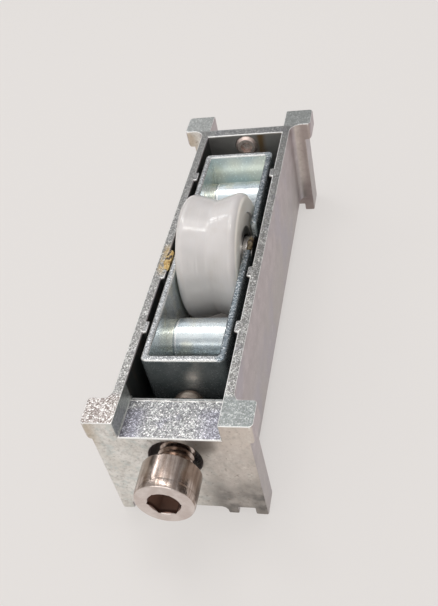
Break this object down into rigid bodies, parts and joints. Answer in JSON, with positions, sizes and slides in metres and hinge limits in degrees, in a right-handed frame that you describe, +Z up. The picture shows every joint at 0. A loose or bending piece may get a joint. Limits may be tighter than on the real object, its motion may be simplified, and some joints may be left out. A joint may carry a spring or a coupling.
{
  "type": "adjustable needle bearing wheel",
  "caption": "Long trough housing holding a sliding carriage with a grooved plastic wheel on needle bearings; a socket screw pushes the carriage up ramps to set the wheel's height.",
  "frame": {"origin": "centre of the bounding box in plan, at the soles of the feet", "axes": "+X across the housing, +Y along the housing away from the adjusting screw, +Z up towards the exposed side of the wheel"},
  "size_m": [0.0294, 0.1006, 0.0313],
  "materials": {
    "housing_zinc": "zinc-plated zinc die casting, sparkling grain",
    "carriage_zinc": "bright zinc-plated zinc die casting",
    "screw_steel": "bright stainless steel",
    "tip_steel": "ground steel",
    "set_screw_steel": "bright stainless steel",
    "wheel_plastic": "white turned plastic, slightly translucent",
    "axle_steel": "ground and hardened steel",
    "shell_steel": "drawn steel",
    "cage_plastic": "dark moulded cage",
    "needle_steel": "polished bearing steel"
  },
  "bodies": {
    "housing": {"housing": "housing_zinc", "rear_set_screw": "set_screw_steel"},
    "screw_tip": {"screw_thrust_tip": "tip_steel"},
    "screw": {"adjusting_screw": "screw_steel"},
    "carriage": {"carriage": "carriage_zinc", "axle": "axle_steel"},
    "wheel": {"wheel": "wheel_plastic", "bearing_shell": "shell_steel"},
    "needles": {"needle_cage": "cage_plastic", "needle_roller_01": "needle_steel", "needle_roller_02": "needle_steel", "needle_roller_03": "needle_steel", "needle_roller_04": "needle_steel", "needle_roller_05": "needle_steel", "needle_roller_06": "needle_steel", "needle_roller_07": "needle_steel", "needle_roller_08": "needle_steel", "needle_roller_09": "needle_steel", "needle_roller_10": "needle_steel", "needle_roller_11": "needle_steel", "needle_roller_12": "needle_steel"}
  },
  "joints": [
    {"name": "screw_advance", "type": "slide", "parent": "housing", "child": "screw_tip", "axis": [0, 1, 0], "range_m": [-0.00421, 0.00131]},
    {"name": "screw_turn", "type": "hinge", "parent": "screw_tip", "child": "screw", "pos_m": [0, -0.04175, 0.01525], "axis": [0, 1, 0], "range_deg": [-1516, 470]},
    {"name": "height_adjust", "type": "slide", "parent": "housing", "child": "carriage", "axis": [0, 0.8662, 0.4998], "range_m": [-0.00485, 0.0015]},
    {"name": "wheel_spin", "type": "hinge", "parent": "carriage", "child": "wheel", "pos_m": [0, 0.00445, 0.0188], "axis": [1, 0, 0], "continuous": true},
    {"name": "needle_orbit", "type": "hinge", "parent": "carriage", "child": "needles", "pos_m": [0, 0.00445, 0.0188], "axis": [1, 0, 0], "continuous": true}
  ],
  "couplings": [
    {"joint": "screw_advance", "follows": "height_adjust", "ratio": 0.86616},
    {"joint": "screw_turn", "follows": "height_adjust", "rad_per_m": 5442.2},
    {"joint": "needle_orbit", "follows": "wheel_spin", "ratio": 0.5798}
  ]
}
